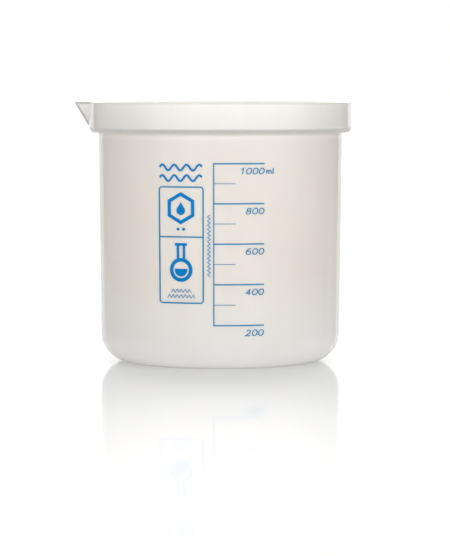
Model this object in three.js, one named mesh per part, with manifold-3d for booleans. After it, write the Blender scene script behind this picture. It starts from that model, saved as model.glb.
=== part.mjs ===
// A 1000 ml low-form laboratory beaker, moulded in one piece from white polypropylene, with its
// printed scale and signs. The wall tapers, the rim turns down into a hollow skirt, and the
// pouring spout is V-shaped. Millimetres, +Z up: the origin is the centre of the flat underside,
// the spout points to -X and the print faces -Y.
import * as THREE from "three";
import { ConvexGeometry } from "three/addons/geometries/ConvexGeometry.js";
import { mergeVertices } from "three/addons/utils/BufferGeometryUtils.js";
import Module from "manifold-3d";

const wasm = await Module();
wasm.setup();

// Vessel
const HEIGHT = 127;
const WALL = 1.6;
const BASE = 1.2;
const FLOOR_RADIUS = 58.5; // where the outside of the tapered wall would meet the floor
const TAPER = THREE.MathUtils.degToRad(0.75);
const CORNER_RADIUS = 14;
const RIM_RADIUS = 64.4;
const RIM_DEPTH = 15;
const RIM_THICKNESS = 2; // the flange on top, and the roots of the skirt
const SKIRT_WALL = 1.8;
const EDGE_ROUND = 0.9;

// Spout, as its keel line seen from the side and its V seen from above
const SPOUT_REACH = 71.7; // tip, from the vessel's axis
const SPOUT_DEPTH = 12.3; // where the keel meets the skirt, below the rim
const KEEL_ROOT_DEPTH = 14.4; // where the keel meets the wall, inside the skirt
const SPOUT_HALF_WIDTH = 14.6;
const SPOUT_HALF_ANGLE = THREE.MathUtils.degToRad(57.5);
const CHANNEL_SETBACK = 2; // tip of the channel behind the tip of the spout
const CHANNEL_BEND_RISE = 1.9; // the channel's bend above the keel's bend
const CHANNEL_ROOT_RISE = 1; // and its root above the keel's root
const CHANNEL_HALF_ANGLE = THREE.MathUtils.degToRad(46.5);
const CHANNEL_INNER_END = 50; // its open end, inside the vessel

// Print: u runs along the wall from the middle of the front, v is the height
const INK_GAP = 0.1;
const INK_THICKNESS = 0.2;
const NEST = 0.02; // how far one line is sunk into the line that it joins
const LINE = 0.6;
const SPINE_LINE = 0.46; // the upright line of the scale
const FINE_LINE = 0.24;
const BEND_STEP = 2;
const SCALE_U = -3;
const LONG_TICK_END = 21.2;
const SHORT_TICK_END = 7.3;
const FIRST_MARK = 200;
const LAST_MARK = 1000;
const MARK_STEP = 100;
const NUMERAL_STEP = 200;
const NUMERAL_HEIGHT = 3.2;
const NUMERAL_DROP = 1.9; // top of the numerals, below their line
const NUMERAL_PITCH = 3.1;
const NUMERAL_SLANT = 0.2;
const UNIT_SLANT = 0.05;
const UNIT_U = 21.9;
const UNIT_PITCH = 3.3;
const STROKE = 0.12; // of the numeral height
const PANEL = { left: -29.8, right: -8, bottom: 32.4, divider: 63.7, top: 87.3, corner: 1.4 };
const SIGN_U = -18.8;
const HEXAGON = { v: 77.3, radius: 6.7, line: 1.6 };
const DROP = { v: 76.2, radius: 2.1, height: 6 };
const DOTS = { v: 67.4, radius: 0.7, spacing: 2.8 };
const FLASK = {
  v: 48.1, radius: 4.8, bulbLine: 1.7, neck: 3, neckLine: 1.2, top: 60.2, lip: 6, liquid: 3.1,
};
const NOTES = [{ v: 38.2, length: 10, waves: 5 }, { v: 35.6, length: 14, waves: 7 }];
const NOTE_HEIGHT = 1.6;
const NOTE_LINE = 0.22;
const SIDE_NOTE = { u: -5.3, bottom: 45, length: 29.3, height: 1.4, waves: 15, line: 0.3 };
const RIPPLES = [{ v: 96.5 }, { v: 91.5 }];
const RIPPLE = { left: -29.6, length: 21.4, waves: 3.5, height: 1.4, line: 0.9 };

// Smoothness
const TURN_STEPS = 72;
const CORNER_STEPS = 6;
const EDGE_STEPS = 2;
const LOOP_STEPS = 24;
const ARC_STEPS = 7;
const RIPPLE_STEPS = 45;
const SLICE = 0.01;

const point = (x, y) => new THREE.Vector2(x, y);
const degrees = THREE.MathUtils.degToRad;

// ---- Solids ----

function toSolid(geometry) {
  const bare = geometry.clone();
  bare.deleteAttribute("normal");
  bare.deleteAttribute("uv");
  const merged = mergeVertices(bare);
  const vertProperties = new Float32Array(merged.attributes.position.array);
  const triVerts = new Uint32Array(merged.index.array);
  return new wasm.Manifold(new wasm.Mesh({ numProp: 3, vertProperties, triVerts }));
}

function toGeometry(solid) {
  const mesh = solid.getMesh();
  const geometry = new THREE.BufferGeometry();
  geometry.setAttribute("position", new THREE.BufferAttribute(mesh.vertProperties, 3));
  geometry.setIndex(new THREE.BufferAttribute(mesh.triVerts, 1));
  geometry.computeVertexNormals();
  return geometry;
}

const join = (geometries) => toGeometry(geometries.map(toSolid).reduce((a, b) => a.add(b)));

// ---- Vessel ----

const outsideRadius = (z) => FLOOR_RADIUS + z * Math.tan(TAPER);

// Centre of the rounded corner that is tangent to the standing plane and to the wall.
const cornerCentre = outsideRadius(CORNER_RADIUS) - CORNER_RADIUS / Math.cos(TAPER);

function insideRadius(z) {
  const wall = outsideRadius(z) - WALL / Math.cos(TAPER);
  const inner = CORNER_RADIUS - WALL;
  const drop = BASE + inner - z;
  if (drop <= 0) return wall;
  return Math.min(wall, cornerCentre + Math.sqrt(Math.max(inner ** 2 - drop ** 2, 0)));
}

function arcPoints(x, y, radius, from, to, steps) {
  const clockwise = to < from;
  return new THREE.EllipseCurve(x, y, radius, radius, from, to, clockwise).getPoints(steps);
}

// Half-section of the vessel, from the axis underneath, round the skirt, and back inside.
function vesselProfile() {
  const skirtBottom = HEIGHT - RIM_DEPTH;
  const skirtInside = RIM_RADIUS - SKIRT_WALL;
  const inner = CORNER_RADIUS - WALL;
  const right = Math.PI / 2;
  return [
    point(0, 0),
    ...arcPoints(cornerCentre, CORNER_RADIUS, CORNER_RADIUS, -right, -TAPER, CORNER_STEPS),
    point(outsideRadius(HEIGHT - RIM_THICKNESS), HEIGHT - RIM_THICKNESS),
    point(skirtInside, HEIGHT - RIM_THICKNESS),
    point(skirtInside, skirtBottom),
    ...arcPoints(RIM_RADIUS - EDGE_ROUND, skirtBottom + EDGE_ROUND, EDGE_ROUND, -right, 0, EDGE_STEPS),
    ...arcPoints(RIM_RADIUS - EDGE_ROUND, HEIGHT - EDGE_ROUND, EDGE_ROUND, 0, right, EDGE_STEPS),
    point(insideRadius(HEIGHT) + EDGE_ROUND, HEIGHT),
    point(insideRadius(HEIGHT), HEIGHT - EDGE_ROUND),
    ...arcPoints(cornerCentre, BASE + inner, inner, -TAPER, -right, CORNER_STEPS),
    point(0, BASE),
  ];
}

// A V-shaped beak: at each depth its plan is a V with its apex on the keel line, and the
// hull of those plans is the solid.
function beak(keel, halfAngle, halfWidth, innerEnd) {
  const corners = [];
  for (const [reach, depth] of keel) {
    const z = HEIGHT - depth;
    const shoulder = reach - halfWidth / Math.tan(halfAngle);
    corners.push(new THREE.Vector3(-reach, 0, z));
    for (const side of [-halfWidth, halfWidth]) {
      corners.push(new THREE.Vector3(-shoulder, side, z));
      corners.push(new THREE.Vector3(-Math.min(innerEnd, shoulder), side, z));
    }
  }
  return toSolid(new ConvexGeometry(corners));
}

function vesselGeometry() {
  const body = new THREE.LatheGeometry(vesselProfile(), TURN_STEPS).rotateX(Math.PI / 2);
  const midWall = outsideRadius(HEIGHT) - WALL / 2;
  const core = new THREE.CylinderGeometry(midWall, midWall, 3 * HEIGHT, TURN_STEPS).rotateX(Math.PI / 2);
  const wallRadius = outsideRadius(HEIGHT - KEEL_ROOT_DEPTH);
  const keel = [[SPOUT_REACH, 0], [RIM_RADIUS, SPOUT_DEPTH], [wallRadius, KEEL_ROOT_DEPTH]];
  const spout = beak(keel, SPOUT_HALF_ANGLE, SPOUT_HALF_WIDTH, midWall / 2).subtract(toSolid(core));
  const slope = (SPOUT_REACH - RIM_RADIUS) / SPOUT_DEPTH;
  const top = SPOUT_REACH - CHANNEL_SETBACK;
  const channel = [
    [top + slope, -1],
    [top - slope * (SPOUT_DEPTH - CHANNEL_BEND_RISE), SPOUT_DEPTH - CHANNEL_BEND_RISE],
    [insideRadius(HEIGHT) - 1, KEEL_ROOT_DEPTH - CHANNEL_ROOT_RISE],
  ];
  const halfWidth = (top - CHANNEL_INNER_END) * Math.tan(CHANNEL_HALF_ANGLE);
  const cut = beak(channel, CHANNEL_HALF_ANGLE, halfWidth, CHANNEL_INNER_END);
  return toGeometry(toSolid(body).add(spout).subtract(cut));
}

// Liquid height at which the inside holds a volume, found by adding thin slices.
function fillHeight(millilitres) {
  let volume = 0;
  let z = BASE;
  while (volume < millilitres * 1000) {
    volume += Math.PI * insideRadius(z) ** 2 * SLICE;
    z += SLICE;
  }
  return z;
}

// ---- Print: drawn flat, then bent round the wall ----

function wrap(geometry, sink = 0) {
  const position = geometry.attributes.position;
  const depth = INK_THICKNESS - 2 * sink;
  const middle = outsideRadius((PANEL.top + PANEL.bottom) / 2);
  for (let i = 0; i < position.count; i += 1) {
    const angle = position.getX(i) / middle;
    const v = position.getY(i);
    const radius = outsideRadius(v) + INK_GAP + sink + position.getZ(i) * depth;
    position.setXYZ(i, radius * Math.sin(angle), -radius * Math.cos(angle), v);
  }
  geometry.computeVertexNormals();
  return geometry;
}

const slab = (shape) => new THREE.ExtrudeGeometry(shape, { depth: 1, bevelEnabled: false });

// A straight bar with enough steps along u to bend round the wall.
function bar(left, bottom, right, top) {
  const steps = Math.ceil((right - left) / BEND_STEP);
  const box = new THREE.BoxGeometry(right - left, top - bottom, 1, steps, 1, 1);
  return box.translate((left + right) / 2, (bottom + top) / 2, 0.5);
}

const ruledLine = (left, right, v, line) => bar(left, v - line / 2, right, v + line / 2);

// Outline of a line of even width through points, with mitred bends. A closed line runs
// anticlockwise, so its right-hand side is the outer one.
function strokeShape({ points, closed }, width) {
  const last = points.length - 1;
  const at = (i) => (closed ? points[(i + points.length) % points.length] : points[i]);
  const direction = (i) => at(i + 1).clone().sub(at(i)).normalize();
  const sides = points.map((middle, i) => {
    const into = closed || i > 0 ? direction(i - 1) : direction(i);
    const out = closed || i < last ? direction(i) : into;
    const along = into.clone().add(out).normalize();
    const across = point(-along.y, along.x).multiplyScalar(width / 2 / along.dot(out));
    return [middle.clone().add(across), middle.clone().sub(across)];
  });
  const left = sides.map(([side]) => side);
  const right = sides.map(([, side]) => side);
  if (!closed) return new THREE.Shape([...left, ...right.reverse()]);
  const shape = new THREE.Shape(right);
  shape.holes.push(new THREE.Path(left));
  return shape;
}

const stroke = (line, width) => slab(strokeShape(line, width));
const line = (...pairs) => ({ points: pairs.map(([x, y]) => point(x, y)), closed: false });

function loop(x, y, radiusX, radiusY = radiusX) {
  const ellipse = new THREE.EllipseCurve(x, y, radiusX, radiusY, 0, 2 * Math.PI);
  return { points: ellipse.getPoints(LOOP_STEPS).slice(0, -1), closed: true };
}

// An arc, by its centre, radii and turning angles in degrees, with straight ends added to it.
function hook([x, y, radiusX, radiusY, from, to], ...ends) {
  const arc = new THREE.EllipseCurve(x, y, radiusX, radiusY, degrees(from), degrees(to), to < from);
  return { points: [...arc.getPoints(ARC_STEPS), ...line(...ends).points], closed: false };
}

// Strokes of each character, one unit high.
const CHARACTERS = {
  0: [loop(0.44, 0.5, 0.37, 0.43)],
  1: [line([0.2, 0.72], [0.5, 0.93], [0.5, 0.07])],
  2: [hook([0.4, 0.67, 0.28, 0.26, 165, -35], [0.07, 0.07], [0.74, 0.07])],
  4: [line([0.56, 0.07], [0.56, 0.93]), line([0.56, 0.9], [0.1, 0.3], [0.76, 0.3])],
  6: [loop(0.42, 0.32, 0.34, 0.25), hook([0.64, 0.34, 0.56, 0.59, 90, 180])],
  8: [loop(0.42, 0.29, 0.34, 0.22), loop(0.42, 0.72, 0.28, 0.21)],
  m: [
    line([0.1, 0.07], [0.1, 0.66]),
    hook([0.28, 0.42, 0.18, 0.17, 170, 0], [0.46, 0.07]),
    hook([0.64, 0.42, 0.18, 0.17, 170, 0], [0.82, 0.07]),
  ],
  l: [line([0.1, 0.07], [0.1, 0.93])],
};

function characterGeometry(character, u, v, slant) {
  const glyph = join(CHARACTERS[character].map((path) => stroke(path, STROKE)));
  const size = NUMERAL_HEIGHT;
  const place = new THREE.Matrix4().set(
    size, size * slant, 0, u,
    0, size, 0, v,
    0, 0, 1, 0,
    0, 0, 0, 1,
  );
  return wrap(glyph.applyMatrix4(place));
}

function scaleGeometry(marks) {
  const bottom = marks[0].v - LINE / 2;
  const top = marks[marks.length - 1].v + LINE / 2;
  const lines = [wrap(bar(SCALE_U - SPINE_LINE / 2, bottom, SCALE_U + SPINE_LINE / 2, top))];
  for (const { v, numbered } of marks) {
    const end = numbered ? LONG_TICK_END : SHORT_TICK_END;
    const width = numbered ? LINE - 2 * NEST : FINE_LINE;
    lines.push(wrap(ruledLine(SCALE_U, end, v, width), NEST));
  }
  return join(lines);
}

function panelGeometry() {
  const { left, right, bottom, divider, top, corner } = PANEL;
  const pieces = [];
  for (const v of [bottom, top]) {
    pieces.push(wrap(ruledLine(left + corner, right - corner, v, LINE)));
  }
  for (const u of [left, right]) {
    pieces.push(wrap(bar(u - LINE / 2, bottom + corner, u + LINE / 2, top - corner)));
  }
  pieces.push(wrap(ruledLine(left, right, divider, LINE), NEST));
  const turns = [[left, bottom, 180], [right, bottom, 270], [right, top, 0], [left, top, 90]];
  for (const [u, v, start] of turns) {
    const x = u + (u === left ? corner : -corner);
    const y = v + (v === bottom ? corner : -corner);
    const overlap = 10;
    const arc = hook([x, y, corner, corner, start - overlap, start + 90 + overlap]);
    pieces.push(wrap(stroke(arc, LINE - 2 * NEST), NEST));
  }
  return join(pieces);
}

function hexagonGeometry() {
  const { v, radius, line: width } = HEXAGON;
  const corners = arcPoints(SIGN_U, v, radius, degrees(30), degrees(330), 5);
  return wrap(stroke({ points: corners, closed: true }, width));
}

function dropGeometry() {
  const { v, radius, height } = DROP;
  const tip = point(SIGN_U, v - radius + height);
  const belly = arcPoints(SIGN_U, v, radius, degrees(155), degrees(385), LOOP_STEPS);
  return wrap(slab(new THREE.Shape([tip, ...belly])));
}

const dotGeometry = (u, v, radius) => wrap(slab(new THREE.Shape(loop(u, v, radius).points)));

// A round-bottomed flask in outline: a bulb, a neck and a lip across the top.
function flaskGeometry() {
  const { v, radius, bulbLine, neck, neckLine, top, lip } = FLASK;
  const bulb = stroke(loop(SIGN_U, v, radius), bulbLine);
  const walls = [-1, 1].map((side) => {
    const u = SIGN_U + (side * neck) / 2;
    return bar(u - neckLine / 2, v + radius - neckLine / 2, u + neckLine / 2, top);
  });
  const rim = ruledLine(SIGN_U - lip / 2, SIGN_U + lip / 2, top, neckLine);
  return wrap(join([bulb, ...walls, rim]));
}

function liquidGeometry() {
  const { v, liquid } = FLASK;
  const belly = arcPoints(SIGN_U, v, liquid, degrees(170), degrees(370), LOOP_STEPS);
  return wrap(slab(new THREE.Shape(belly)));
}

// A fine zigzag from the origin along x, the sign for a line of small writing.
function zigzag(length, height, waves, width) {
  const points = [];
  for (let i = 0; i <= 2 * waves; i += 1) {
    points.push(point((length * i) / (2 * waves), (i % 2 ? height : -height) / 2));
  }
  return stroke({ points, closed: false }, width);
}

function noteGeometry({ v, length, waves }) {
  const writing = zigzag(length, NOTE_HEIGHT, waves, NOTE_LINE);
  return wrap(writing.translate(SIGN_U - length / 2, v, 0));
}

function sideNoteGeometry() {
  const { u, bottom, length, height, waves, line: width } = SIDE_NOTE;
  const writing = zigzag(length, height, waves, width);
  return wrap(writing.rotateZ(Math.PI / 2).translate(u, bottom, 0));
}

function rippleGeometry(v) {
  const { left, length, waves, height, line: width } = RIPPLE;
  const points = [];
  for (let i = 0; i < RIPPLE_STEPS; i += 1) {
    const part = (i + 0.3) / RIPPLE_STEPS;
    points.push(point(left + length * part, v + height * Math.sin(2 * Math.PI * waves * part)));
  }
  return wrap(stroke({ points, closed: false }, width));
}

// ---- Materials and assembly ----

const polypropylene = () =>
  new THREE.MeshStandardMaterial({ color: 0xe6e3dc, roughness: 0.42, metalness: 0 });

const ink = () => new THREE.MeshStandardMaterial({ color: 0x1668a8, roughness: 0.5, metalness: 0 });

const beaker = new THREE.Group();

function addPiece(name, geometry, material) {
  const mesh = new THREE.Mesh(geometry, material);
  mesh.name = name;
  beaker.add(mesh);
}

addPiece("vessel", vesselGeometry(), polypropylene());

const marks = [];
for (let volume = FIRST_MARK; volume <= LAST_MARK; volume += MARK_STEP) {
  marks.push({ volume, v: fillHeight(volume), numbered: volume % NUMERAL_STEP === 0 });
}
addPiece("graduation_scale", scaleGeometry(marks), ink());

// Numerals end under the end of their line; the unit follows the top one.
for (const { volume, v } of marks.filter((mark) => mark.numbered)) {
  const digits = [...String(volume)];
  const baseline = v - NUMERAL_DROP - NUMERAL_HEIGHT;
  digits.forEach((digit, i) => {
    const u = LONG_TICK_END - (digits.length - i) * NUMERAL_PITCH;
    const geometry = characterGeometry(digit, u, baseline, NUMERAL_SLANT);
    addPiece(`numeral_${volume}_digit_${i + 1}`, geometry, ink());
  });
  if (volume === LAST_MARK) {
    ["m", "l"].forEach((letter, i) => {
      const u = UNIT_U + i * UNIT_PITCH;
      addPiece(`unit_letter_${letter}`, characterGeometry(letter, u, baseline, UNIT_SLANT), ink());
    });
  }
}

addPiece("panel_frame", panelGeometry(), ink());
addPiece("sign_hexagon", hexagonGeometry(), ink());
addPiece("sign_drop", dropGeometry(), ink());
for (const [name, side] of [["left", -1], ["right", 1]]) {
  const u = SIGN_U + (side * DOTS.spacing) / 2;
  addPiece(`sign_dot_${name}`, dotGeometry(u, DOTS.v, DOTS.radius), ink());
}
addPiece("sign_flask", flaskGeometry(), ink());
addPiece("sign_flask_liquid", liquidGeometry(), ink());
NOTES.forEach((note, i) => addPiece(`note_line_${i + 1}`, noteGeometry(note), ink()));
addPiece("side_note", sideNoteGeometry(), ink());
RIPPLES.forEach(({ v }, i) => addPiece(`ripple_${i + 1}`, rippleGeometry(v), ink()));

export default beaker;
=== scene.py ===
"""Looks of the plastic beaker: a fine one-piece vessel mesh round the CAD frame, printed ink, and a
pale studio. Metres, +Z up; the spout points to -X and the print faces -Y."""
import math

import bpy
import numpy as np
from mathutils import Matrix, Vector


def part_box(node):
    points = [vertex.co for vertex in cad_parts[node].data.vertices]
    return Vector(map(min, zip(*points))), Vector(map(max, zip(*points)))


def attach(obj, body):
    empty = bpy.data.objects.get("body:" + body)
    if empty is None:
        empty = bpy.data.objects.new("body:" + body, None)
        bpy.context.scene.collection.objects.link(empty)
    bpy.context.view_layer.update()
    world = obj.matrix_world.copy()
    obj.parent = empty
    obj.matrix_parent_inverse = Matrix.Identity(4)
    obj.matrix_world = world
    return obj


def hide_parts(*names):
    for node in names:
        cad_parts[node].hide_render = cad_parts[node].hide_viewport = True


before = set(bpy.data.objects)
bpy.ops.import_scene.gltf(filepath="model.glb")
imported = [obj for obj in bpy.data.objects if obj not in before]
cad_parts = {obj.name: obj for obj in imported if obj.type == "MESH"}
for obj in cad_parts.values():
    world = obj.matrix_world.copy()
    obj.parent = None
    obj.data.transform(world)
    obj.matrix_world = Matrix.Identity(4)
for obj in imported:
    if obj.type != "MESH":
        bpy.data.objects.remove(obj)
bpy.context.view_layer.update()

MM = 0.001

# ---- Sizes of the vessel, beside those that the frame gives ----

LOW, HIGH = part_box("vessel")
HEIGHT = HIGH.z
RIM_RADIUS = HIGH.x
SPOUT_REACH = -LOW.x
WALL = 1.6 * MM
BASE = 1.2 * MM
FLOOR_RADIUS = 58.5 * MM  # where the outside of the tapered wall would meet the floor
TAPER = math.radians(0.75)
CORNER_RADIUS = 14 * MM
INNER_CORNER_RADIUS = CORNER_RADIUS - WALL
RIM_DEPTH = 14.7 * MM
SKIRT_BOTTOM = HEIGHT - RIM_DEPTH
EDGE_BEVEL = 1.6 * MM  # bevel of the skirt's lower edge
EDGE_BEVEL_HEIGHT = 2 * MM
RIM_THICKNESS = 2 * MM
CEILING = HEIGHT - RIM_THICKNESS  # the top of the hollow under the rim
SKIRT_WALL = 1.8 * MM
NOOK = 0.8 * MM  # rounding of the hollow's upper corners
LIP = 0.7 * MM  # rounding of the top edge, outside and inside

SPOUT_DEPTH = 12.3 * MM
SPOUT_SLOPE = (SPOUT_REACH - RIM_RADIUS) / SPOUT_DEPTH
SPOUT_HALF_ANGLE = math.radians(57.5)
SPOUT_BLEND = 0.5 * MM  # rounding between the spout and the rim
SPOUT_NOSE = 0.009  # rounding of the spout's keel, as an angle in radians
NOSE_SHARE = 0.4  # share of that rounding taken off again, so that the nose isn't cut too short
SPOUT_SPAN = math.radians(16)  # the part of the turn that holds the spout, on each side
SPOUT_COLUMNS = 80  # columns of faces in the spout's part of the turn
PLAIN_COLUMNS = 170  # and in the rest of the turn
CHANNEL_SETBACK = 2 * MM
CHANNEL_BEND = 10.4 * MM  # depth where the channel's floor turns in towards the vessel
CHANNEL_DEPTH = 13.4 * MM
CHANNEL_HALF_ANGLE = math.radians(46.5)
CHANNEL_ROOT = 1 * MM  # how far within the wall's inside the channel's floor would end
CHANNEL_BLEND = 0.8 * MM  # rounding between the channel and the wall
BEND_BLEND = 2 * MM  # rounding of the bend in the channel's floor
THROAT_DEPTH = 1.3 * CHANNEL_DEPTH  # the inside is cut into closer rows as far down as this
PLUG_SPAN = math.radians(11)  # the skirt's hollow is plugged under the spout, on each side
PLUG_GAP = 1 * MM

# The moulding mark underneath: a round recess with a low nub in its middle
GATE_RADIUS = 4 * MM
GATE_SHOULDER = 3.6 * MM
GATE_DEPTH = 0.5 * MM
NUB_RADIUS = 1 * MM
NUB_FOOT = 1.4 * MM
NUB_DEPTH = 0.2 * MM

# ---- Looks of the plastic, with painted light and shade ----

# Painted shade, stored with the mesh's points: the keel line, the spout's flanks, the rounded top
# edge and the skirt's bevelled lower edge are darkened where shade and dark reflections fall
KEEL_WIDTH = math.radians(1.4)  # the painted shade line along the spout's keel, to each side
KEEL_PAINTED_SHADE = 0.8
SPOUT_FLANK_PAINTED_SHADE = 0.12  # painted shade on the spout's flanks, at their lower end
SHADE_BLEND = 0.5 * MM  # the spout has its full painted shade where it stands out this far
BRIM_PAINTED_SHADE = 0.9  # painted shade on the rounded top edge, all round
BRIM_SPOUT_PAINTED_SHADE = 0.3  # and more painted shade on the part of it that is on the spout
EDGE_PAINTED_SHADE = 0.64  # painted shade on the skirt's bevelled lower edge, in the middle of the bevel
EDGE_SOFTENING = 0.5  # how much lighter that painted shade gets towards both ends of the bevel
# Colour of the plastic from the floor up, milky in the middle, with painted light and shade in it:
# lighter at the rounded bottom corner and just under the skirt, and the skirt lighter towards its
# top and darker towards its lower edge: (share of the height, colour)
TINTS_WITH_PAINTED_LIGHT = [
    (0.0, (1.0, 0.99, 0.975)),
    (0.12, (0.905, 0.89, 0.86)),
    (0.35, (0.87, 0.83, 0.77)),
    (0.7, (0.87, 0.83, 0.77)),
    (0.855, (0.87, 0.84, 0.785)),
    (0.875, (0.95, 0.925, 0.88)),
    (0.9, (0.88, 0.86, 0.815)),
    (1.0, (0.99, 0.97, 0.925)),
]

# ---- Colours of the ink, as the darker and the lighter one of its speckle ----

BOLD_INK = (0.0005, 0.20, 0.54), (0.001, 0.25, 0.66)
FINE_INK = (0.0005, 0.24, 0.49), (0.001, 0.29, 0.59)

# ---- Light round the studio ----

WORLD_BACK = 1.65  # straight behind
WORLD_EDGE = 1.05  # towards the ends of the bright part behind
WORLD_SIDE = 0.12
WORLD_TOP = 0.4
WORLD_FRONT = 1.97
# Turns from straight behind, to each side, between which a change goes on
BACK_CORE = math.radians(8), math.radians(14)  # from the brightest part to the ends' brightness
BACK_END = math.radians(31.8), math.radians(33)  # from there to the darker sides
BACK_TURN = math.radians(1.1)  # the bright part behind is a little to the left
FRONT_TURN = math.radians(6)  # the front light comes from a little to the right
FRONT_SPREAD = 0, 0.68  # cosines of the angles off the front light where it starts and is full
FRONT_FADE = 0.2, 0.6  # sines of the heights between which the front light fades out
TOP_FADE = 0.5, 0.9  # and between which the sides' brightness goes over to the top's


# ---- Vessel mesh ----


def outside_radius(z):
    """Radius of the tapered wall's outside at a height."""
    return FLOOR_RADIUS + z * math.tan(TAPER)


def corner_centre():
    """Distance from the axis to the centre of the rounded corner's arcs."""
    return outside_radius(CORNER_RADIUS) - CORNER_RADIUS / math.cos(TAPER)


def arc(centre, radius, start, end, steps):
    """Points of an arc, by its angles in degrees."""
    turns = np.radians(np.linspace(start, end, steps + 1))
    return [(centre[0] + radius * math.cos(t), centre[1] + radius * math.sin(t)) for t in turns]


def straight(start, end, steps):
    """Points between two ends, without the ends."""
    shares = np.linspace(0, 1, steps + 1)[1:-1]
    return [tuple(np.array(start) + s * (np.array(end) - np.array(start))) for s in shares]


def underside_section():
    """The moulding mark, the flat underside, the rounded corner and the wall up to the skirt."""
    gate = [
        (0, NUB_DEPTH),
        (NUB_RADIUS, NUB_DEPTH),
        (NUB_FOOT, GATE_DEPTH),
        (GATE_SHOULDER, GATE_DEPTH),
        (GATE_RADIUS, 0),
    ]
    centre, taper = corner_centre(), math.degrees(TAPER)
    floor = straight((GATE_RADIUS, 0), (centre, 0), steps=12)
    corner = arc((centre, CORNER_RADIUS), CORNER_RADIUS, -90, -taper, steps=20)
    wall_end = (outside_radius(SKIRT_BOTTOM), SKIRT_BOTTOM)
    return gate + floor + corner + straight(corner[-1], wall_end, steps=24) + [wall_end]


def hollow_section():
    """The hollow under the rim: up the wall, over its ceiling and down inside the skirt."""
    top = CEILING - NOOK
    wall_radius, skirt_radius = outside_radius(CEILING), RIM_RADIUS - SKIRT_WALL
    wall_end = (outside_radius(SKIRT_BOTTOM), SKIRT_BOTTOM)
    section = straight(wall_end, (wall_radius, top), steps=8)
    section += arc((wall_radius + NOOK, top), NOOK, 180, 90, steps=4)
    section += arc((skirt_radius - NOOK, top), NOOK, 90, 0, steps=4)
    return section + straight((skirt_radius, top), (skirt_radius, SKIRT_BOTTOM), steps=8)


def edge_section():
    """The skirt's lower edge: a flat ring and the bevel."""
    bevel_start = (RIM_RADIUS - EDGE_BEVEL, SKIRT_BOTTOM)
    bevel_end = (RIM_RADIUS, SKIRT_BOTTOM + EDGE_BEVEL_HEIGHT)
    bevel = [bevel_start] + straight(bevel_start, bevel_end, steps=8) + [bevel_end]
    return [(RIM_RADIUS - SKIRT_WALL, SKIRT_BOTTOM)] + bevel


def mouth_section():
    """The inner half of the rounded top edge, and the inside as far down as the channel needs."""
    radius = outside_radius(HEIGHT) - WALL / math.cos(TAPER)
    bottom = HEIGHT - THROAT_DEPTH
    throat_end = (outside_radius(bottom) - WALL, bottom)
    section = arc((radius + LIP, HEIGHT - LIP), LIP, 90, 180, steps=5)
    return section + straight((radius, HEIGHT - LIP), throat_end, steps=30) + [throat_end]


def inside_section(start):
    """The rest of the inside: wall, rounded corner and base as far as the axis."""
    centre, taper = corner_centre(), math.degrees(TAPER)
    corner_place = (centre, BASE + INNER_CORNER_RADIUS)
    corner = arc(corner_place, INNER_CORNER_RADIUS, -taper, -90, steps=20)
    base = straight((centre, BASE), (0, BASE), steps=12) + [(0, BASE)]
    return straight(start, corner[0], steps=20) + corner + base


def vessel_profile():
    """Half-section from the axis underneath to the axis inside, and which zone each point is in."""
    edge, mouth = edge_section(), mouth_section()
    zones = [
        ("plain", underside_section()),
        ("hollow", hollow_section()),
        ("edge", edge),
        ("band", straight(edge[-1], (RIM_RADIUS, HEIGHT - LIP), steps=26)),
        ("brim", arc((RIM_RADIUS - LIP, HEIGHT - LIP), LIP, 0, 90, steps=5)),
        ("mouth", mouth),
        ("plain", inside_section(mouth[-1])),
    ]
    points = np.array([point for _, zone in zones for point in zone])
    names = np.array([name for name, zone in zones for _ in zone])
    return points, names


def turn_angles():
    """Angles from the spout, all the way round, close together at the spout."""
    fine = np.linspace(-SPOUT_SPAN, SPOUT_SPAN, SPOUT_COLUMNS, endpoint=False)
    coarse = np.linspace(SPOUT_SPAN, 2 * math.pi - SPOUT_SPAN, PLAIN_COLUMNS, endpoint=False)
    return np.concatenate([fine, coarse])


def smooth_larger(a, b, blend):
    """The larger of two values, with a rounded change from one to the other."""
    share = np.clip(0.5 + 0.5 * (a - b) / blend, 0, 1)
    return b + (a - b) * share + blend * share * (1 - share)


def beak_radius(apex, half_angle, away):
    """Distance from the axis to a V whose apex is this far out, seen from above."""
    away = np.sqrt(away**2 + SPOUT_NOSE**2) - SPOUT_NOSE * NOSE_SHARE
    return apex * math.sin(half_angle) / np.sin(np.minimum(away, math.pi / 2) + half_angle)


def spout_push(away, depth):
    """How far the spout stands out of the rim."""
    keel = beak_radius(SPOUT_REACH - SPOUT_SLOPE * depth, SPOUT_HALF_ANGLE, away)
    push = smooth_larger(keel, RIM_RADIUS, SPOUT_BLEND) - RIM_RADIUS
    return np.where(away < SPOUT_SPAN, push, 0)


def channel_push(away, depth):
    """How far the pouring channel is cut into the wall from the inside."""
    upper = SPOUT_REACH - CHANNEL_SETBACK - SPOUT_SLOPE * depth
    bend = SPOUT_REACH - CHANNEL_SETBACK - SPOUT_SLOPE * CHANNEL_BEND
    root = outside_radius(HEIGHT) - WALL - CHANNEL_ROOT
    lower = root + (bend - root) * (CHANNEL_DEPTH - depth) / (CHANNEL_DEPTH - CHANNEL_BEND)
    trough = beak_radius(-smooth_larger(-upper, -lower, BEND_BLEND), CHANNEL_HALF_ANGLE, away)
    wall = outside_radius(HEIGHT) - WALL - depth * math.tan(TAPER)
    push = smooth_larger(trough, wall, CHANNEL_BLEND) - wall
    return np.where(away < SPOUT_SPAN, push, 0)


def plugged_height(z, away):
    """Heights in the hollow, pressed down to a small gap under the spout."""
    plugged = np.clip(1 - away / PLUG_SPAN, 0, 1)
    plugged = plugged * plugged * (3 - 2 * plugged)
    squeeze = 1 - plugged * (1 - PLUG_GAP / (RIM_DEPTH - RIM_THICKNESS))
    return SKIRT_BOTTOM + (z - SKIRT_BOTTOM) * squeeze


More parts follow.
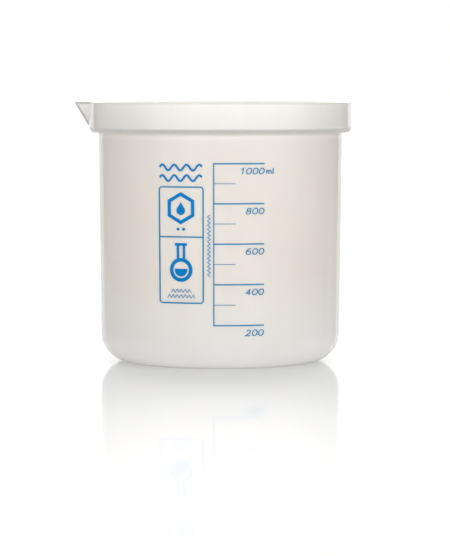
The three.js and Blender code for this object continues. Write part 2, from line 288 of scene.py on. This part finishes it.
def surface_shade(zones, away, depth, push):
    """Painted shade, as a factor on the plastic's colour: darker along the skirt's bevelled lower
    edge, the rounded top edge and the spout's keel and flanks, where shade and dark reflections
    fall.
    """
    beyond = np.clip(push / SHADE_BLEND, 0, 1)
    keel = np.exp(-((away / KEEL_WIDTH) ** 2))
    flank = SPOUT_FLANK_PAINTED_SHADE * np.clip(depth / SPOUT_DEPTH, 0, 1)
    painted_shade = np.where(zones == "band", 1 - beyond * (KEEL_PAINTED_SHADE * keel + flank), 1)
    brim = BRIM_PAINTED_SHADE - BRIM_SPOUT_PAINTED_SHADE * beyond
    painted_shade = np.where(zones == "brim", brim, painted_shade)
    rise = (RIM_DEPTH - depth) / EDGE_BEVEL_HEIGHT - 0.5
    return np.where(zones == "edge", EDGE_PAINTED_SHADE + EDGE_SOFTENING * rise**2, painted_shade)


def vessel_grid():
    """Places of the skin's points, ring by ring round the turn, and the painted shade of each one.
    """
    points, zones = vessel_profile()
    radius, z = points[:, 0], points[:, 1]
    depth = HEIGHT - z
    turn = turn_angles()[:, None]
    away = np.abs((turn + math.pi) % (2 * math.pi) - math.pi)
    push = spout_push(away, depth)
    radius = radius + np.where(np.isin(zones, ("band", "brim")), push, 0)
    radius = radius + np.where(zones == "mouth", channel_push(away, depth), 0)
    z = np.where(zones == "hollow", plugged_height(z, away), z)
    grid = np.stack([-radius * np.cos(turn), -radius * np.sin(turn), z], axis=-1)
    return grid, surface_shade(zones, away, depth, push)


def skin_faces(turns, rows):
    """Faces between the rings, and fans to the two points on the axis, which come after them."""
    under, inside = turns * rows, turns * rows + 1
    faces = []
    for i in range(turns):
        here, there = i * rows, ((i + 1) % turns) * rows
        faces.append((under, there, here))
        for j in range(rows - 1):
            faces.append((here + j, there + j, there + j + 1, here + j + 1))
        faces.append((inside, here + rows - 1, there + rows - 1))
    return faces


def build_vessel(plastic):
    """One closed skin: rings of points round the turn, and a point on the axis at each end."""
    grid, painted_shade = vessel_grid()
    rings = grid[:, 1:-1]
    vertices = [tuple(v) for v in rings.reshape(-1, 3)]
    vertices += [tuple(grid[0, 0]), tuple(grid[0, -1])]
    mesh = bpy.data.meshes.new("vessel_moulding")
    mesh.from_pydata(vertices, [], skin_faces(*rings.shape[:2]))
    mesh.shade_smooth()
    mesh.materials.append(plastic)
    # painted shade, stored with the mesh's points and read by the material
    values = np.append(painted_shade[:, 1:-1].ravel(), [1, 1])
    mesh.attributes.new("painted_shade", "FLOAT", "POINT").data.foreach_set("value", values)
    piece = bpy.data.objects.new("vessel_moulding", mesh)
    bpy.context.scene.collection.objects.link(piece)
    return piece


# ---- Shader nodes ----


def new_material(name):
    """A material with its node tree and its shader."""
    material = bpy.data.materials.new(name)
    material.use_nodes = True
    tree = material.node_tree
    return material, tree, tree.nodes["Principled BSDF"]


def add(tree, kind, **settings):
    """A new node of this kind, with its settings."""
    node = tree.nodes.new(kind)
    for name, value in settings.items():
        setattr(node, name, value)
    return node


def noise(tree, place, scale, detail, stretch=(1, 1, 1)):
    """A noise in the object's own space."""
    mapping = add(tree, "ShaderNodeMapping")
    mapping.inputs["Scale"].default_value = stretch
    tree.links.new(place, mapping.inputs["Vector"])
    texture = add(tree, "ShaderNodeTexNoise")
    texture.inputs["Scale"].default_value = scale
    texture.inputs["Detail"].default_value = detail
    tree.links.new(mapping.outputs[0], texture.inputs["Vector"])
    return texture.outputs["Fac"]


def ramp(tree, value, low, high):
    """Maps 0.3 to 0.7 of a noise onto two values or colours."""
    node = add(tree, "ShaderNodeValToRGB")
    for element, place, colour in zip(node.color_ramp.elements, (0.3, 0.7), (low, high)):
        element.position = place
        element.color = (*colour, 1) if isinstance(colour, tuple) else (colour, colour, colour, 1)
    tree.links.new(value, node.inputs["Fac"])
    return node.outputs["Color"]


def bump(tree, height, strength, distance, normal=None):
    """A surface normal tilted by a height, on top of another bump if there is one."""
    node = add(tree, "ShaderNodeBump")
    node.inputs["Strength"].default_value = strength
    node.inputs["Distance"].default_value = distance
    tree.links.new(height, node.inputs["Height"])
    if normal is not None:
        tree.links.new(normal, node.inputs["Normal"])
    return node.outputs["Normal"]


def smooth_step(tree, value, start, end, low, high):
    """Goes smoothly from low to high while the value goes from start to end."""
    node = add(tree, "ShaderNodeMapRange", interpolation_type="SMOOTHSTEP")
    for name, setting in zip(("From Min", "From Max", "To Min", "To Max"), (start, end, low, high)):
        node.inputs[name].default_value = setting
    tree.links.new(value, node.inputs["Value"])
    return node.outputs[0]


def combine(tree, operation, first, second):
    """A sum, product and so on of two values, of which the second may be a plain number."""
    node = add(tree, "ShaderNodeMath", operation=operation)
    tree.links.new(first, node.inputs[0])
    if isinstance(second, float):
        node.inputs[1].default_value = second
    else:
        tree.links.new(second, node.inputs[1])
    return node.outputs[0]


def multiply(tree, first, second):
    """The product of two colours."""
    factor, colour_a, colour_b, colour_result = 0, 6, 7, 2  # sockets of a Mix node set to colours
    node = add(tree, "ShaderNodeMix", data_type="RGBA", blend_type="MULTIPLY")
    node.inputs[factor].default_value = 1
    tree.links.new(first, node.inputs[colour_a])
    tree.links.new(second, node.inputs[colour_b])
    return node.outputs[colour_result]


def tint_with_painted_light(tree, place):
    """The milky colour, with painted light and shade that change with the height on the vessel."""
    split = add(tree, "ShaderNodeSeparateXYZ")
    tree.links.new(place, split.inputs[0])
    share = add(tree, "ShaderNodeMapRange")
    share.inputs["From Max"].default_value = HEIGHT
    tree.links.new(split.outputs["Z"], share.inputs["Value"])
    node = add(tree, "ShaderNodeValToRGB")
    while len(node.color_ramp.elements) < len(TINTS_WITH_PAINTED_LIGHT):
        node.color_ramp.elements.new(1)
    for element, (position, colour) in zip(node.color_ramp.elements, TINTS_WITH_PAINTED_LIGHT):
        element.position = position
        element.color = (*colour, 1)
    tree.links.new(share.outputs[0], node.inputs["Fac"])
    return node.outputs["Color"]


# ---- Materials ----


def polypropylene():
    """Milky moulded plastic: cloudy colour, faint upright flow lines and a fine satin grain, with
    painted light and shade by height and painted shade on its edges.
    """
    material, tree, shader = new_material("polypropylene")
    place = add(tree, "ShaderNodeTexCoord").outputs["Object"]
    # painted shade from the mesh's points darkens the colour and, where it is strong, makes the
    # surface rougher
    painted_shade = add(tree, "ShaderNodeAttribute", attribute_name="painted_shade").outputs["Fac"]
    cloud = ramp(tree, noise(tree, place, scale=28, detail=3), (0.97, 0.965, 0.96), (1.0, 1.0, 1.0))
    streak = ramp(tree, noise(tree, place, scale=90, detail=2, stretch=(1, 1, 0.04)), 0.975, 1.0)
    # the milky colour carries painted light and shade that change with the height
    milk_with_painted_light = multiply(tree, multiply(tree, tint_with_painted_light(tree, place), cloud), streak)
    tree.links.new(multiply(tree, milk_with_painted_light, painted_shade), shader.inputs["Base Color"])
    blotch = ramp(tree, noise(tree, place, scale=90, detail=4), 0.03, 0.06)
    shaded_rough = smooth_step(tree, painted_shade, start=0.6, end=1, low=0.3, high=0)
    tree.links.new(combine(tree, "ADD", blotch, shaded_rough), shader.inputs["Roughness"])
    flow = noise(tree, place, scale=160, detail=2, stretch=(1, 1, 0.06))
    grain = noise(tree, place, scale=2600, detail=2)
    waves = bump(tree, flow, strength=0.05, distance=0.4 * MM)
    satin = bump(tree, grain, strength=0.04, distance=0.05 * MM, normal=waves)
    tree.links.new(satin, shader.inputs["Normal"])
    shader.inputs["IOR"].default_value = 1.49
    shader.inputs["Subsurface Weight"].default_value = 0.5
    shader.inputs["Subsurface Radius"].default_value = (1.0, 0.9, 0.75)
    shader.inputs["Subsurface Scale"].default_value = 1.5 * MM
    return material


def printed_ink(name, low, high):
    """Blue screen ink: a thin even film with small pinholes of lighter colour and a soft gloss."""
    material, tree, shader = new_material(name)
    place = add(tree, "ShaderNodeTexCoord").outputs["Object"]
    speckle = noise(tree, place, scale=1800, detail=3)
    tree.links.new(ramp(tree, speckle, low, high), shader.inputs["Base Color"])
    patch = noise(tree, place, scale=300, detail=2)
    tree.links.new(ramp(tree, patch, 0.42, 0.55), shader.inputs["Roughness"])
    film = bump(tree, speckle, strength=0.15, distance=0.03 * MM)
    tree.links.new(film, shader.inputs["Normal"])
    shader.inputs["Specular IOR Level"].default_value = 0.06
    return material


def floor_finish():
    """Pale glossy board, which mirrors only a little of what stands on it."""
    material, tree, shader = new_material("studio_floor")
    shader.inputs["Base Color"].default_value = (0.8, 0.8, 0.8, 1)
    shader.inputs["Roughness"].default_value = 0.03
    shader.inputs["Emission Color"].default_value = (1, 1, 1, 1)
    shader.inputs["Emission Strength"].default_value = 0.16
    shader.inputs["IOR"].default_value = 1.055
    return material


# ---- Studio ----


def build_floor():
    """A square floor, much larger than the view."""
    size = 6.0
    mesh = bpy.data.meshes.new("floor")
    corners = [(-size, -size, 0), (size, -size, 0), (size, size, 0), (-size, size, 0)]
    mesh.from_pydata(corners, [], [(0, 1, 2, 3)])
    mesh.materials.append(floor_finish())
    floor = bpy.data.objects.new("floor", mesh)
    bpy.context.scene.collection.objects.link(floor)


def light_behind(tree, x, y):
    """The bright part behind: brightest in its core, and 0 beyond its ends."""
    turn = combine(tree, "ADD", combine(tree, "ARCTAN2", x, y), BACK_TURN)
    turn = combine(tree, "PINGPONG", turn, math.pi)
    core = smooth_step(tree, turn, *BACK_CORE, low=WORLD_BACK, high=WORLD_EDGE)
    return combine(tree, "MULTIPLY", core, smooth_step(tree, turn, *BACK_END, low=1, high=0))


def light_in_front(tree, direction, z):
    """The wide light in front, which stays low."""
    facing = add(tree, "ShaderNodeVectorMath", operation="DOT_PRODUCT")
    tree.links.new(direction, facing.inputs[0])
    facing.inputs[1].default_value = (math.sin(FRONT_TURN), -math.cos(FRONT_TURN), 0)
    front = smooth_step(tree, facing.outputs["Value"], *FRONT_SPREAD, low=0, high=WORLD_FRONT)
    return combine(tree, "MULTIPLY", front, smooth_step(tree, z, *FRONT_FADE, low=1, high=0))


def build_world():
    """White to look at. As a light it is bright behind, dark at the sides, bright low in front."""
    world = bpy.data.worlds.new("studio")
    world.use_nodes = True
    bpy.context.scene.world = world
    tree = world.node_tree
    background = tree.nodes["Background"]
    direction = add(tree, "ShaderNodeTexCoord").outputs["Generated"]
    split = add(tree, "ShaderNodeSeparateXYZ")
    tree.links.new(direction, split.inputs[0])
    x, y, z = split.outputs
    top = smooth_step(tree, z, *TOP_FADE, low=WORLD_SIDE, high=WORLD_TOP)
    around = combine(tree, "MAXIMUM", light_behind(tree, x, y), top)
    light = combine(tree, "ADD", around, light_in_front(tree, direction, z))
    factor, as_light, as_seen = 0, 2, 3  # sockets of a Mix node set to plain values
    seen = add(tree, "ShaderNodeMix", data_type="FLOAT")
    tree.links.new(add(tree, "ShaderNodeLightPath").outputs["Is Camera Ray"], seen.inputs[factor])
    tree.links.new(light, seen.inputs[as_light])
    seen.inputs[as_seen].default_value = 1.0
    background.inputs["Color"].default_value = (1, 1, 1, 1)
    tree.links.new(seen.outputs[0], background.inputs["Strength"])


def add_softbox(name, place, target, size, power, spread=math.pi):
    """A rectangular light at a place, turned to a target."""
    light = bpy.data.lights.new(name, "AREA")
    light.shape = "RECTANGLE"
    light.size, light.size_y = size
    light.energy = power
    light.spread = spread
    lamp = bpy.data.objects.new(name, light)
    lamp.location = place
    lamp.rotation_euler = (Vector(target) - Vector(place)).to_track_quat("-Z", "Y").to_euler()
    bpy.context.scene.collection.objects.link(lamp)


def build_lights():
    """A large softbox above and behind, and a narrow one over the floor in front."""
    add_softbox("softbox_top", place=(0, 0.5, 1.1), target=(0, 0, 0), size=(1.2, 0.9), power=5)
    add_softbox(
        "softbox_floor",
        place=(0, -0.86, 0.5),
        target=(0, -0.86, 0),
        size=(1.6, 1.3),
        power=2.8,
        spread=math.radians(56),
    )


def build_camera():
    """A long lens a little above the rim, looking slightly down."""
    distance, height, sideways = 1.390, 0.1355, 0.0023
    tilt_down = 3.913
    focal_pixels, image_height = 2827, 556
    camera = bpy.data.cameras.new("camera")
    camera.lens = focal_pixels / image_height * camera.sensor_width
    camera.clip_start, camera.clip_end = 0.05, 60
    rig = bpy.data.objects.new("camera", camera)
    rig.location = (sideways, -distance, height)
    rig.rotation_euler = (math.radians(90 - tilt_down), 0, 0)
    bpy.context.scene.collection.objects.link(rig)
    bpy.context.scene.camera = rig


# ---- Assembly ----

build_camera()
build_floor()
build_world()
build_lights()
bpy.context.scene.view_settings.view_transform = "Standard"

plastic = polypropylene()
bold_ink = printed_ink("printed_ink", *BOLD_INK)
fine_ink = printed_ink("printed_ink_fine", *FINE_INK)
vessel = build_vessel(plastic)
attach(vessel, "root")
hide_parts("vessel")

for name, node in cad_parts.items():
    if name != "vessel":
        node.data.materials.clear()
        node.data.materials.append(bold_ink if name.startswith(("sign", "ripple")) else fine_ink)
